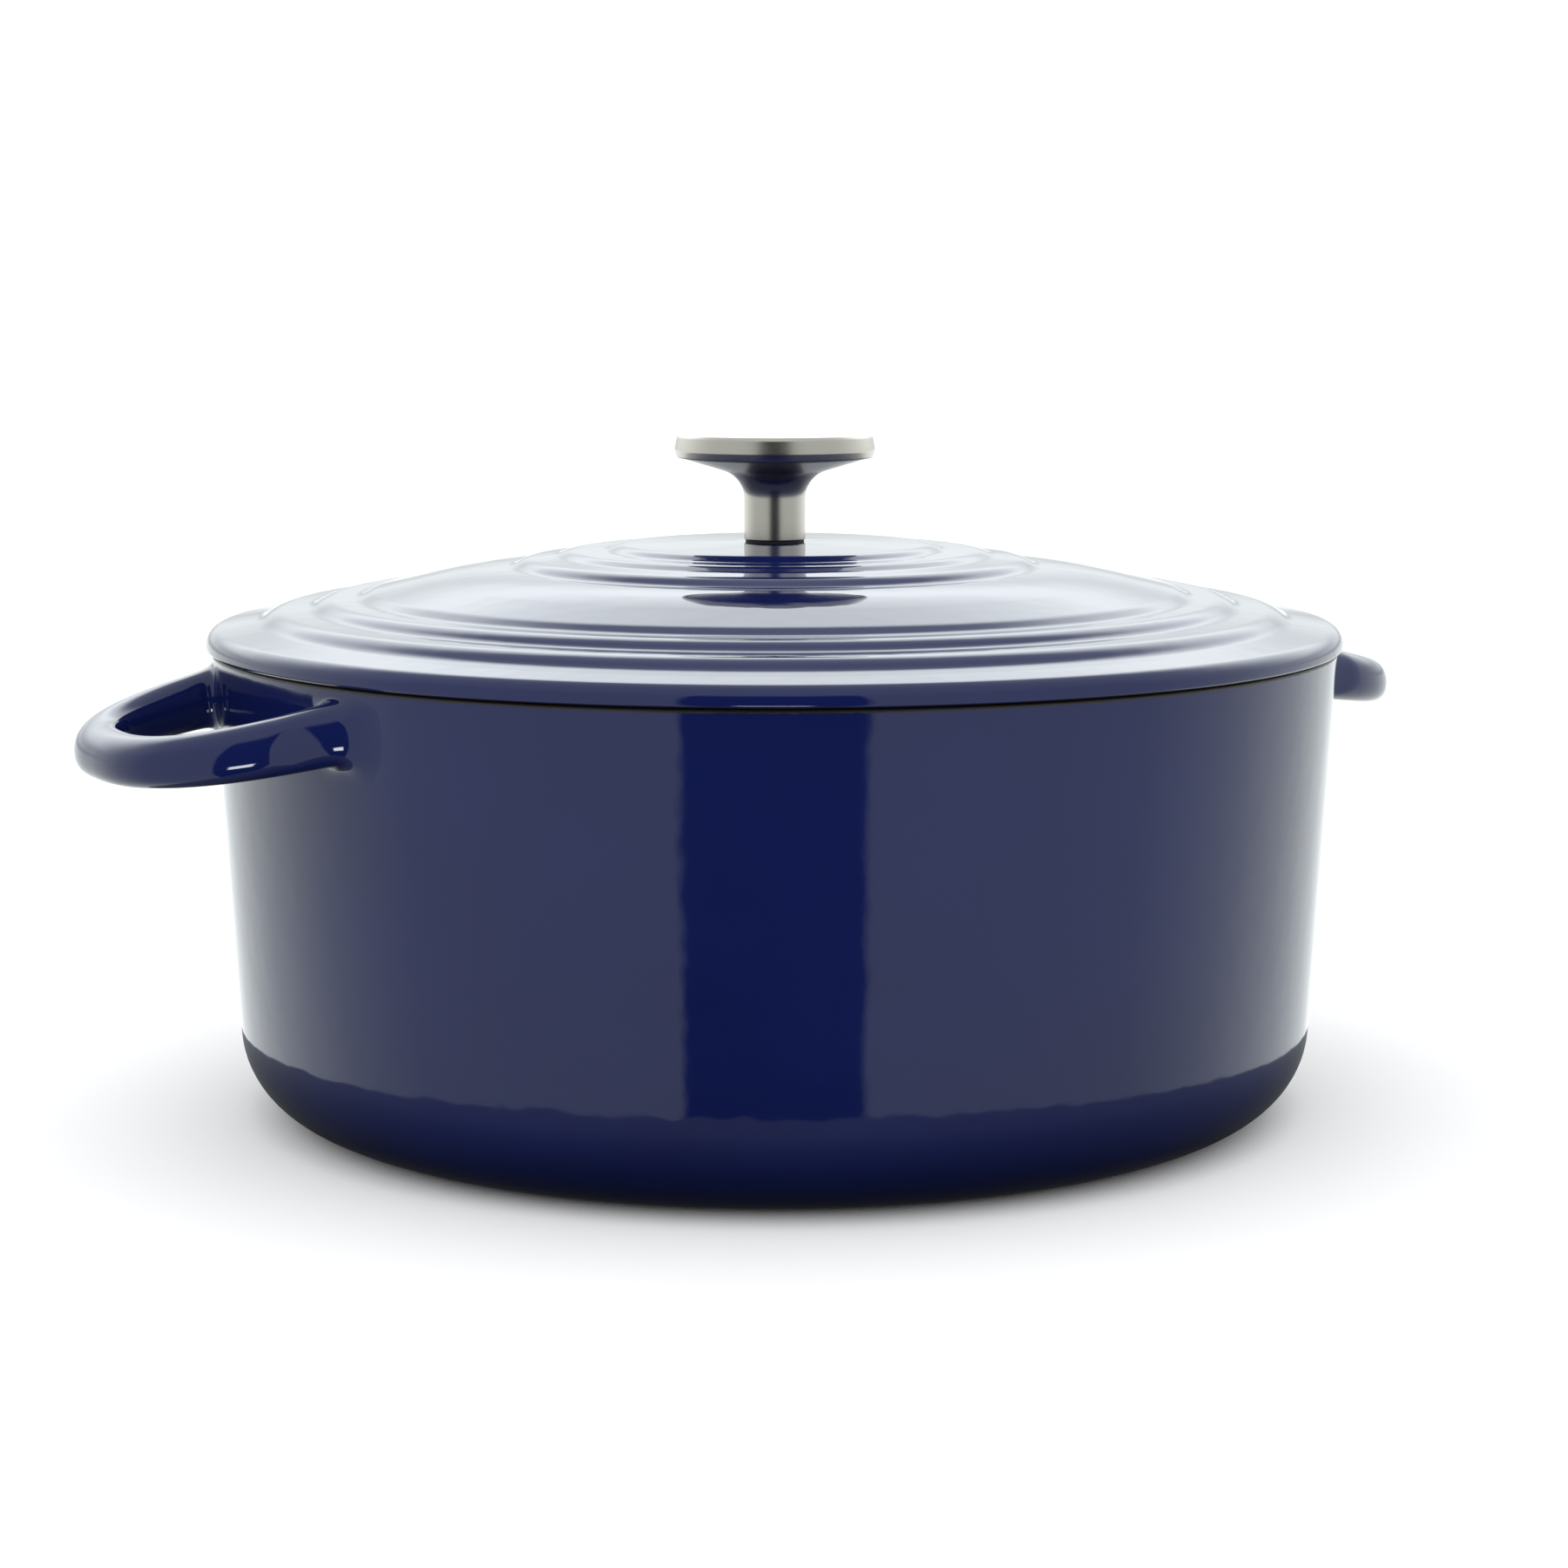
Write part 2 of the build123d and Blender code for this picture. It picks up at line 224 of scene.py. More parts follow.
def lid_outline():
    return rounded_line([
        (SCREW_HOLE, LID_TOP, SMALL_ROUND),
        (PAD_RADIUS, LID_TOP, TERRACE_ROUND),
        *terrace_corners(INNER_TERRACES),
        (CROWN[0], SEAT + CROWN[1], CROWN_ROUND),
        *terrace_corners(OUTER_TERRACES),
        (BROW[0], SEAT + BROW[1], TERRACE_ROUND),
        (LID_RADIUS, SEAT + LID_EDGE, EDGE_ROUND),
        (LID_RADIUS, SEAT, LIP_ROUND),
        (FLANGE_OUTER, SEAT, SEAT_ROUND),
        (FLANGE_OUTER, SEAT - FLANGE_DEPTH, FLANGE_ROUND),
        (FLANGE_INNER, SEAT - FLANGE_DEPTH, FLANGE_ROUND),
        (FLANGE_INNER, dish_height(FLANGE_INNER), DISH_ROUND),
        *dome_corners(dish_height, FLANGE_INNER - 2 * DISH_ROUND, PAD_RADIUS + PAD_ROUND, DISH_RINGS),
        (PAD_RADIUS, PAD_HEIGHT, PAD_ROUND),
        (SCREW_HOLE, PAD_HEIGHT, SMALL_ROUND),
    ])


def cap_height(radius):
    return LID_TOP + CAP_CENTRE - dome_fall(radius, CAP_SHOULDER[0], CAP_CENTRE - CAP_SHOULDER[1])


def cap_outline():
    inner = FLARE_RIM[0] + FIT
    return rounded_line([
        *dome_corners(cap_height, 0, CAP_SHOULDER[0] - 1.5, CAP_RINGS),
        (CAP_SHOULDER[0], cap_height(CAP_SHOULDER[0]), CAP_ROUND),
        (CAP_RADIUS + 2 * FIT, LID_TOP + CAP_WIDEST, CAP_ROUND),
        (CAP_RADIUS - SHEET / 2, LID_TOP + CAP_BOTTOM, BEAD),
        (inner, LID_TOP + CAP_BOTTOM, BEAD),
        (inner, cap_height(inner) - SHEET, SMALL_ROUND),
        *dome_corners(lambda r: cap_height(r) - SHEET, inner - 1, 0, CAP_LINING_RINGS),
    ])


def stem_outline():
    return rounded_line([
        (STEM_BORE, LID_TOP + KNOB_FOOT, 0),
        (STEM_RADIUS, LID_TOP + KNOB_FOOT, 0.25),
        (STEM_RADIUS, LID_TOP + NECK_HEIGHT, NECK_ROUND),
        (FLARE_RIM[0], LID_TOP + FLARE_RIM[1], SMALL_ROUND),
        (FLARE_RIM[0], LID_TOP + FLARE_RIM[1] + SHEET, 0.2),
        (STEM_BORE, LID_TOP + NECK_HEIGHT + SHEET, 2.0),
    ])


def nib_outline():
    """Rounded stud with its tip down, and its root inside the lid."""
    return rounded_line([
        (0, 0, 0),
        (NIB_TIP, 0, 0.7),
        (NIB_RADIUS - 0.4, NIB_HEIGHT, 0.9),
        (NIB_RADIUS + 0.5, NIB_HEIGHT + NIB_ROOT, 0),
        (0, NIB_HEIGHT + NIB_ROOT, 0),
    ])


# ---------------------------------------------------------------- nodes and meshes
def node(tree, kind, inputs=None, **settings):
    """Adds a node, with its settings, and its inputs as values or as links from other nodes."""
    made = tree.nodes.new(kind)
    for name, value in settings.items():
        setattr(made, name, value)
    for key, value in (inputs or {}).items():
        if isinstance(value, bpy.types.NodeSocket):
            tree.links.new(value, made.inputs[key])
        else:
            made.inputs[key].default_value = value
    return made


def new_object(name, mesh):
    made = bpy.data.objects.new(name, mesh)
    bpy.context.scene.collection.objects.link(made)
    return made


def geometry_tree(name, inputs):
    """Empty Geometry Nodes tree with named inputs and one mesh output."""
    tree = bpy.data.node_groups.new(name, "GeometryNodeTree")
    for label, kind in inputs:
        tree.interface.new_socket(name=label, in_out="INPUT", socket_type="NodeSocket" + kind)
    tree.interface.new_socket(name="Mesh", in_out="OUTPUT", socket_type="NodeSocketGeometry")
    return tree


def finish_tree(tree, geometry, material):
    """Ends a tree in smooth, real geometry with its material."""
    smooth = node(tree, "GeometryNodeSetShadeSmooth", {"Geometry": geometry})
    real = node(tree, "GeometryNodeRealizeInstances", {"Geometry": smooth.outputs[0]})
    painted = node(tree, "GeometryNodeSetMaterial", {"Geometry": real.outputs[0], "Material": material})
    node(tree, "NodeGroupOutput", {"Mesh": painted.outputs[0]})


def turned_tree():
    """Turns the object's own outline round the Z axis, like work on a lathe."""
    tree = geometry_tree("turned round the axis", [
        ("Outline", "Geometry"), ("Segments", "Int"), ("Path Radius", "Float"), ("Material", "Material"),
    ])
    given = node(tree, "NodeGroupInput").outputs
    outline = node(tree, "GeometryNodeMeshToCurve", {"Mesh": given["Outline"]})
    path = node(tree, "GeometryNodeCurvePrimitiveCircle",
                {"Resolution": given["Segments"], "Radius": given["Path Radius"]})
    swept = node(tree, "GeometryNodeCurveToMesh",
                 {"Curve": path.outputs["Curve"], "Profile Curve": outline.outputs["Curve"]})
    closed = node(tree, "GeometryNodeMergeByDistance",
                  {"Geometry": swept.outputs[0], "Distance": MERGE_DISTANCE})
    finish_tree(tree, closed.outputs[0], given["Material"])
    return tree


def copies_tree():
    """Copies of a piece at even turns round the Z axis."""
    tree = geometry_tree("copies round the axis", [
        ("Geometry", "Geometry"), ("Piece", "Object"), ("Count", "Int"), ("Ring Radius", "Float"),
        ("Height", "Float"), ("Material", "Material"),
    ])
    given = node(tree, "NodeGroupInput").outputs
    index = node(tree, "GeometryNodeInputIndex").outputs[0]
    step = node(tree, "ShaderNodeMath", {0: math.tau, 1: given["Count"]}, operation="DIVIDE").outputs[0]
    turn = node(tree, "ShaderNodeMath", {0: index, 1: step}, operation="MULTIPLY").outputs[0]
    across = node(tree, "ShaderNodeMath", {0: turn}, operation="COSINE").outputs[0]
    along = node(tree, "ShaderNodeMath", {0: turn}, operation="SINE").outputs[0]
    ring = node(tree, "ShaderNodeCombineXYZ", {"X": across, "Y": along}).outputs[0]
    wide = node(tree, "ShaderNodeVectorMath", {0: ring, "Scale": given["Ring Radius"]}, operation="SCALE")
    high = node(tree, "ShaderNodeCombineXYZ", {"Z": given["Height"]}).outputs[0]
    place = node(tree, "ShaderNodeVectorMath", {0: wide.outputs[0], 1: high}, operation="ADD").outputs[0]
    points = node(tree, "GeometryNodePoints", {"Count": given["Count"], "Position": place})
    turned = node(tree, "ShaderNodeCombineXYZ", {"Z": turn}).outputs[0]
    rotation = node(tree, "FunctionNodeEulerToRotation", {"Euler": turned}).outputs[0]
    piece = node(tree, "GeometryNodeObjectInfo", {"Object": given["Piece"]}).outputs["Geometry"]
    copies = node(tree, "GeometryNodeInstanceOnPoints",
                  {"Points": points.outputs[0], "Instance": piece, "Rotation": rotation})
    finish_tree(tree, copies.outputs[0], given["Material"])
    return tree


def grown(name, mesh, tree, values):
    """Runs a tree on a mesh with its inputs set, and returns the result as a plain object."""
    made = new_object(name, mesh)
    modifier = made.modifiers.new(tree.name, "NODES")
    modifier.node_group = tree
    sockets = {item.name: item.identifier for item in tree.interface.items_tree if item.in_out == "INPUT"}
    for label, value in values.items():
        modifier[sockets[label]] = value
    ready = made.evaluated_get(bpy.context.evaluated_depsgraph_get())
    result = bpy.data.meshes.new_from_object(ready)
    made.modifiers.clear()
    made.data = result
    return made


def turned(name, outline, material, segments, closed=False):
    """A piece turned from an outline in millimetres, its faces pointing outwards."""
    count = len(outline)
    points = [((p.x - PATH_RADIUS) * MM, -p.y * MM, 0) for p in outline]
    edges = [(i, (i + 1) % count) for i in range(count if closed else count - 1)]
    mesh = bpy.data.meshes.new(name)
    mesh.from_pydata(points, edges, [])
    values = {"Segments": segments, "Path Radius": PATH_RADIUS * MM, "Material": material}
    made = grown(name, mesh, TURNED, values)
    face_outwards(made.data)
    return made


def copied(name, piece, count, ring_radius, height, material):
    """Copies of a piece round the axis, as one object."""
    values = {"Piece": piece, "Count": count, "Ring Radius": ring_radius * MM, "Height": height * MM,
              "Material": material}
    return grown(name, bpy.data.meshes.new(name), COPIES, values)


def face_outwards(mesh):
    work = bmesh.new()
    work.from_mesh(mesh)
    bmesh.ops.recalc_face_normals(work, faces=work.faces)
    work.to_mesh(mesh)
    work.free()


def joined(name, pieces, materials, sharp_from):
    """One object from several closed shells, with smooth shading up to an angle."""
    work = bmesh.new()
    for piece in pieces:
        work.from_mesh(piece.data)
        bpy.data.objects.remove(piece)
    mesh = bpy.data.meshes.new(name)
    work.to_mesh(mesh)
    work.free()
    for material in materials:
        mesh.materials.append(material)
    mesh.shade_smooth()
    mesh.set_sharp_from_angle(angle=math.radians(sharp_from))
    return new_object(name, mesh)


TURNED = turned_tree()
COPIES = copies_tree()


# ---------------------------------------------------------------- loop handle
def signed_power(value, power):
    return math.copysign(abs(value) ** power, value)


LOOP_SAMPLES = 1600
BISECTIONS = 40
LOOP_COLUMNS, ARM_ROWS, BAR_ROWS = 56, 22, 84
ARM_CROWDING = 1.2              # an arm's rows stand closer together towards the wall


def loop_stations():
    """Centre line of half a loop, from an arm's root to the tip: distance along it, x and y."""
    reach = LOOP_TIP - LOOP_BAR / 2 - LOOP_ROOT
    half = LOOP_HALF_WIDTH - LOOP_BAR / 2
    power = 2 / LOOP_SQUARENESS
    stations, distance = [], 0.0
    for k in range(LOOP_SAMPLES + 1):
        angle = math.pi / 2 * (1 - k / LOOP_SAMPLES)
        x = LOOP_ROOT + reach * math.cos(angle) ** power if k else LOOP_ROOT
        y = -half * math.sin(angle) ** power if k < LOOP_SAMPLES else 0.0
        if stations:
            distance += math.hypot(x - stations[-1][1], y - stations[-1][2])
        stations.append((distance, x, y))
    return stations


STATIONS = loop_stations()
HALF_LOOP = STATIONS[-1][0]


def loop_centre(s):
    """Point of the centre line at a distance from the root; past the tip it is the mirrored half."""
    beyond = s > HALF_LOOP
    s = 2 * HALF_LOOP - s if beyond else s
    low, high = 0, len(STATIONS) - 1
    while high - low > 1:
        middle = (low + high) // 2
        if STATIONS[middle][0] <= s:
            low = middle
        else:
            high = middle
    a, b = STATIONS[low], STATIONS[high]
    share = (s - a[0]) / (b[0] - a[0])
    x, y = a[1] + (b[1] - a[1]) * share, a[2] + (b[2] - a[2]) * share
    return Vector((x, -y if beyond else y, 0))


def loop_outward(s):
    """Level direction away from the inside of the loop."""
    step = 0.4
    along = loop_centre(s + step) - loop_centre(max(0.0, s - step))
    return Vector((along.y, -along.x, 0)).normalized()


def bar_height(x, root, tip):
    """Height of the bar's sloping top or underside."""
    return root + (tip - root) * (x - LOOP_ROOT) / (LOOP_TIP - LOOP_ROOT)


def bar_point(s, theta):
    """Point on the bar's surface, at a distance along the loop and an angle round its section."""
    centre = loop_centre(s)
    power = 2 / BAR_SQUARENESS
    out = LOOP_BAR / 2 * signed_power(math.cos(theta), power)
    level = centre + loop_outward(s) * out
    top, bottom = (bar_height(level.x, *ends) for ends in ((ROOT_TOP, TIP_TOP), (ROOT_BOTTOM, TIP_BOTTOM)))
    level.z = (top + bottom) / 2 + (top - bottom) / 2 * signed_power(math.sin(theta), power)
    return level


def bar_normal(theta):
    """Outward direction of the section: its share outwards and its share upwards."""
    power = 2 - 2 / BAR_SQUARENESS
    out = signed_power(math.cos(theta), power)
    up = signed_power(math.sin(theta), power)
    size = math.hypot(out, up)
    return out / size, up / size


def wall_radius(z):
    """Outside of the leaning wall."""
    return RIM_RADIUS - WALL_DRAFT * (RIM_HEIGHT - z)


def wall_normal(point):
    level = Vector((point.x, point.y, 0)).normalized()
    return (level - Vector((0, 0, WALL_DRAFT))).normalized()


def distance_to_wall(theta):
    """Distance along the loop at which a line of the bar comes out of the wall."""
    low, high = 0.0, HALF_LOOP
    for _ in range(BISECTIONS):
        middle = (low + high) / 2
        point = bar_point(middle, theta)
        if math.hypot(point.x, point.y) < wall_radius(point.z):
            low = middle
        else:
            high = middle
    return high


def flare_size(out, up):
    """How far a line of the arm spreads over the wall, by the way it faces."""
    side = FLARE_OUT if out > 0 else FLARE_IN
    end = FLARE_TOP if up > 0 else FLARE_BOTTOM
    return side * out**2 + end * up**2


def blended(a, corner, b, t):
    """Smooth turn from a, towards the corner, to b, flat at both ends."""
    hold, tight = 0.5, 0.88
    points = [a, a.lerp(corner, hold), a.lerp(corner, tight), b.lerp(corner, tight), b.lerp(corner, hold), b]
    degree = len(points) - 1
    weights = [math.comb(degree, k) * t**k * (1 - t) ** (degree - k) for k in range(degree + 1)]
    return sum((p * w for p, w in zip(points, weights)), Vector((0, 0, 0)))


def arm_line(theta):
    """One line of an arm, from its end inside the wall to where the plain bar starts, and that distance."""
    out, up = bar_normal(theta)
    meets = distance_to_wall(theta)
    corner = bar_point(meets, theta)
    size = flare_size(out, up)
    across = loop_outward(meets) * out + Vector((0, 0, up))
    normal = wall_normal(corner)
    spread = (across - normal * across.dot(normal)).normalized()
    foot = corner + spread * size
    foot.z = min(foot.z, FLARE_CEILING)
    level = Vector((foot.x, foot.y, 0)).normalized() * wall_radius(foot.z)
    foot = Vector((level.x, level.y, foot.z))
    starts = meets + size + (CREST_RUN - FLARE_TOP) * max(up, 0)**2
    start = bar_point(starts, theta)
    turn = [blended(foot, corner, start, (k / ARM_ROWS) ** ARM_CROWDING) for k in range(ARM_ROWS)]
    return [foot - wall_normal(foot) * ROOT_DEPTH, *turn], starts


def handle_loop():
    """Closed shell of one loop on the +X side, its two arms flaring into the wall."""
    work = bmesh.new()
    lines = []
    for j in range(LOOP_COLUMNS):
        theta = math.tau * j / LOOP_COLUMNS
        arm, starts = arm_line(theta)
        steps = [starts + (2 * HALF_LOOP - 2 * starts) * k / BAR_ROWS for k in range(BAR_ROWS + 1)]
        bar = [bar_point(s, theta) for s in steps]
        far_arm = [Vector((p.x, -p.y, p.z)) for p in reversed(arm)]
        lines.append([work.verts.new(p * MM) for p in [*arm, *bar, *far_arm]])
    for j, line in enumerate(lines):
        beside = lines[(j + 1) % LOOP_COLUMNS]
        for k in range(len(line) - 1):
            work.faces.new((line[k], line[k + 1], beside[k + 1], beside[k]))
    work.faces.new([line[0] for line in lines])
    work.faces.new([line[-1] for line in reversed(lines)])
    bmesh.ops.recalc_face_normals(work, faces=work.faces)
    mesh = bpy.data.meshes.new("handle loop")
    work.to_mesh(mesh)
    work.free()
    return new_object("handle loop", mesh)


# ---------------------------------------------------------------- materials
def linear(hex_colour):
    """An sRGB hex value as a linear colour."""
    parts = [int(hex_colour[i:i + 2], 16) / 255 for i in (1, 3, 5)]
    return (*[c / 12.92 if c <= 0.04045 else ((c + 0.055) / 1.055) ** 2.4 for c in parts], 1)


def per_mm(size):
    """Noise scale that gives a pattern of about this many millimetres."""
    return 1 / (size * MM)


def blank_material(name):
    """New material with one Principled shader: the material, its tree, the shader and Object coordinates."""
    made = bpy.data.materials.new(name)
    made.use_nodes = True
    tree = made.node_tree
    tree.nodes.clear()
    shader = node(tree, "ShaderNodeBsdfPrincipled")
    node(tree, "ShaderNodeOutputMaterial", {"Surface": shader.outputs[0]})
    here = node(tree, "ShaderNodeTexCoord").outputs["Object"]
    return made, tree, shader, here


# Enamel, millimetres; the indexes of refraction have no unit
TONE_PATCH = 34.0               # size of the faint changes of colour
GLOSS_PATCH = 16.0
WAVE_LENGTH, WAVE_DEPTH = 9.0, 0.06
RIPPLE_LENGTH, RIPPLE_DEPTH = 2.2, 0.0035
BAND_MIDDLE = RIM_HEIGHT - 0.3  # the unglazed band runs along the pot's rim
BAND_HALF = 0.65
BAND_SOFT = 0.1
BAND_RAGGED, RAGGED_LENGTH = 0.5, 2.4
BARE_IRON, BARE_ROUGHNESS = "#171413", 0.42
GLASS_IOR, SILICONE_IOR = 1.52, 1.41


def vitreous_enamel(name, colour, shade, roughness):
    """Fired glass coat over cast iron, with the unglazed black band where the lid meets the rim.

    The glaze is liquid when fired, so it settles in shallow waves that bend every reflection a little.
    """
    made, tree, shader, here = blank_material(name)
    tone = node(tree, "ShaderNodeTexNoise", {"Vector": here, "Scale": per_mm(TONE_PATCH), "Detail": 3.0})
    glaze = node(tree, "ShaderNodeMix", {0: tone.outputs["Fac"], 6: linear(colour), 7: linear(shade)},
                 data_type="RGBA")
    height = node(tree, "ShaderNodeSeparateXYZ", {0: here}).outputs["Z"]
    ragged = node(tree, "ShaderNodeTexNoise", {"Vector": here, "Scale": per_mm(RAGGED_LENGTH), "Detail": 3.0})
    shift = node(tree, "ShaderNodeMapRange", {"Value": ragged.outputs["Fac"], "To Min": -BAND_RAGGED / 2 * MM,
                                              "To Max": BAND_RAGGED / 2 * MM}).outputs[0]
    edge = node(tree, "ShaderNodeMath", {0: height, 1: shift}, operation="ADD").outputs[0]
    off = node(tree, "ShaderNodeMath", {0: edge, 1: BAND_MIDDLE * MM}, operation="SUBTRACT").outputs[0]
    away = node(tree, "ShaderNodeMath", {0: off}, operation="ABSOLUTE").outputs[0]
    band = node(tree, "ShaderNodeMapRange", {
        "Value": away, "From Min": (BAND_HALF - BAND_SOFT) * MM, "From Max": (BAND_HALF + BAND_SOFT) * MM,
        "To Min": 1.0, "To Max": 0.0,
    }).outputs[0]
    base = node(tree, "ShaderNodeMix", {0: band, 6: glaze.outputs[2], 7: linear(BARE_IRON)}, data_type="RGBA")
    gloss = node(tree, "ShaderNodeTexNoise", {"Vector": here, "Scale": per_mm(GLOSS_PATCH)})
    smooth = node(tree, "ShaderNodeMapRange", {"Value": gloss.outputs["Fac"], "To Min": roughness * 0.7,
                                               "To Max": roughness * 1.3}).outputs[0]
    rough = node(tree, "ShaderNodeMix", {0: band, 2: smooth, 3: BARE_ROUGHNESS}).outputs[0]
    swell = node(tree, "ShaderNodeTexNoise", {"Vector": here, "Scale": per_mm(WAVE_LENGTH), "Detail": 1.0})
    waves = node(tree, "ShaderNodeBump", {"Distance": WAVE_DEPTH * MM, "Height": swell.outputs["Fac"]})
    skin = node(tree, "ShaderNodeTexNoise", {"Vector": here, "Scale": per_mm(RIPPLE_LENGTH)})
    ripple = node(tree, "ShaderNodeBump", {"Distance": RIPPLE_DEPTH * MM, "Height": skin.outputs["Fac"],
                                           "Normal": waves.outputs[0]})
    tree.links.new(base.outputs[2], shader.inputs["Base Color"])
    tree.links.new(rough, shader.inputs["Roughness"])
    tree.links.new(ripple.outputs[0], shader.inputs["Normal"])
    shader.inputs["IOR"].default_value = GLASS_IOR
    return made


def lathe_brushed_steel(name, colour, roughness, line_size, line_depth):
    """Stainless steel finished on a lathe with abrasive cloth.

    Its lines run round the axis, so a reflection is drawn out across them into soft upright streaks.
    """
    made, tree, shader, here = blank_material(name)
    parts = node(tree, "ShaderNodeSeparateXYZ", {0: here}).outputs
    level = node(tree, "ShaderNodeCombineXYZ", {"X": parts["X"], "Y": parts["Y"]}).outputs[0]
    radius = node(tree, "ShaderNodeVectorMath", {0: level}, operation="LENGTH").outputs["Value"]
    across = node(tree, "ShaderNodeCombineXYZ", {"X": radius, "Y": 0.0, "Z": parts["Z"]}).outputs[0]
    faint = node(tree, "ShaderNodeVectorMath", {0: level, "Scale": 0.04}, operation="SCALE").outputs[0]
    lines_at = node(tree, "ShaderNodeVectorMath", {0: across, 1: faint}, operation="ADD").outputs[0]
    lines = node(tree, "ShaderNodeTexNoise", {"Vector": lines_at, "Scale": per_mm(line_size), "Detail": 3.0})
    lines = lines.outputs["Fac"]
    bump = node(tree, "ShaderNodeBump", {"Distance": line_depth * MM, "Height": lines})
    spread = node(tree, "ShaderNodeMapRange", {"Value": lines, "To Min": roughness * 0.75,
                                               "To Max": roughness * 1.25}).outputs[0]
    tree.links.new(spread, shader.inputs["Roughness"])
    tree.links.new(bump.outputs[0], shader.inputs["Normal"])
    tangent = node(tree, "ShaderNodeTangent", direction_type="RADIAL", axis="Z").outputs[0]
    tree.links.new(tangent, shader.inputs["Tangent"])
    shader.inputs["Base Color"].default_value = linear(colour)
    shader.inputs["Metallic"].default_value = 1.0
    shader.inputs["Anisotropic"].default_value = 0.6
    return made


def silicone_rubber():
    """Moulded black silicone: matt, with a faint moulded grain."""
    made, tree, shader, here = blank_material("black_silicone_rubber_moulded")
    grain = node(tree, "ShaderNodeTexNoise", {"Vector": here, "Scale": per_mm(0.3)}).outputs["Fac"]
    bump = node(tree, "ShaderNodeBump", {"Distance": 0.01 * MM, "Height": grain})
    dust = node(tree, "ShaderNodeMapRange", {"Value": grain, "To Min": 0.5, "To Max": 0.7}).outputs[0]
    tree.links.new(bump.outputs[0], shader.inputs["Normal"])
    tree.links.new(dust, shader.inputs["Roughness"])
    shader.inputs["Base Color"].default_value = linear("#1b1b1c")
    shader.inputs["IOR"].default_value = SILICONE_IOR
    return made


COBALT = vitreous_enamel("cobalt_vitreous_enamel_fired_gloss", "#101a4a", "#0d153f", 0.05)
CREAM = vitreous_enamel("sand_vitreous_enamel_fired_gloss", "#d9d2c2", "#d2cab8", 0.09)
KNOB_STEEL = lathe_brushed_steel("stainless_steel_lathe_brushed", "#bfbbb3", 0.24, 0.12, 0.002)
HARDWARE_STEEL = lathe_brushed_steel("stainless_steel_turned", "#b9b8b5", 0.32, 0.2, 0.003)
RUBBER = silicone_rubber()


# ---------------------------------------------------------------- pieces
def line_inside(piece, is_inside):
    """Gives the second material, the light lining, to the faces that a rule picks."""
    for face in piece.data.polygons:
        face.material_index = int(is_inside(face.center / MM, face.normal))


def pot_lining(centre, normal):
    """The cavity: faces that look at the axis or up from the floor, inside the rim."""
    inward = centre.x * normal.x + centre.y * normal.y < 0
    on_floor = normal.z > 0.9 and centre.z < RIM_HEIGHT / 2
    inside = math.hypot(centre.x, centre.y) < RIM_RADIUS - WALL / 2
    return inside and centre.z > FLOOR - 0.5 and (inward or on_floor)


def lid_lining(centre, normal):
    """Everything under the lid, inside its seat."""
    inside = math.hypot(centre.x, centre.y) < FLANGE_OUTER + 0.5
    return inside and normal.z < 0.5 and centre.z < PAD_HEIGHT + 0.1


def pot_casting():
    body = turned("pot body", pot_outline(), COBALT, TURN_SEGMENTS)
    line_inside(body, pot_lining)
    loop = handle_loop()
    loops = copied("two loops", loop, 2, 0.0, 0.0, COBALT)
    line_inside(loops, lambda centre, normal: False)
    bpy.data.objects.remove(loop)
    return joined("pot_casting", [body, loops], [COBALT, CREAM], 40)


def lid_casting():
    body = turned("lid body", lid_outline(), COBALT, TURN_SEGMENTS, closed=True)
    line_inside(body, lid_lining)
    nib = turned("nib", nib_outline(), CREAM, NIB_SEGMENTS)
    rings = []
    for radius, count in NIB_RINGS:
        ring = copied("nib ring", nib, count, radius, dish_height(radius) - NIB_HEIGHT, CREAM)
        line_inside(ring, lambda centre, normal: True)
        rings.append(ring)
    bpy.data.objects.remove(nib)
    return joined("lid_casting", [body, *rings], [COBALT, CREAM], 50)


def knob_pieces():
    cap = turned("knob_cap_spun", cap_outline(), KNOB_STEEL, KNOB_SEGMENTS)
    stem = turned("knob_stem_drawn", stem_outline(), KNOB_STEEL, KNOB_SEGMENTS, closed=True)
    for piece, cad_node in ((cap, "knob_cap"), (stem, "knob_stem")):
        piece.data.set_sharp_from_angle(angle=math.radians(50))
        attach(piece, LID_BODY)
        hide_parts(cad_node)


def hardware():
    """The small turned parts keep their CAD shapes."""
    finishes = {
        "threaded_insert": HARDWARE_STEEL,
        "flat_washer": HARDWARE_STEEL,
        "spring_washer": HARDWARE_STEEL,
        "knob_screw": HARDWARE_STEEL,
        "knob_gasket": RUBBER,
    }
    for name, material in finishes.items():
        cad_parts[name].material_slots[0].material = material


# ---------------------------------------------------------------- studio
CAMERA_TURN = math.radians(-28.8)       # the camera stands this far round from the -Y side
CAMERA_DISTANCE = 0.8775
CAMERA_HEIGHT = 0.2034
CAMERA_ASIDE = 0.0022
CAMERA_PITCH = math.radians(8.24)
CAMERA_LENS = 84.36
TOWARDS_CAMERA = Vector((math.sin(CAMERA_TURN), -math.cos(CAMERA_TURN), 0))
RIGHT_OF_CAMERA = Vector((math.cos(CAMERA_TURN), math.sin(CAMERA_TURN), 0))


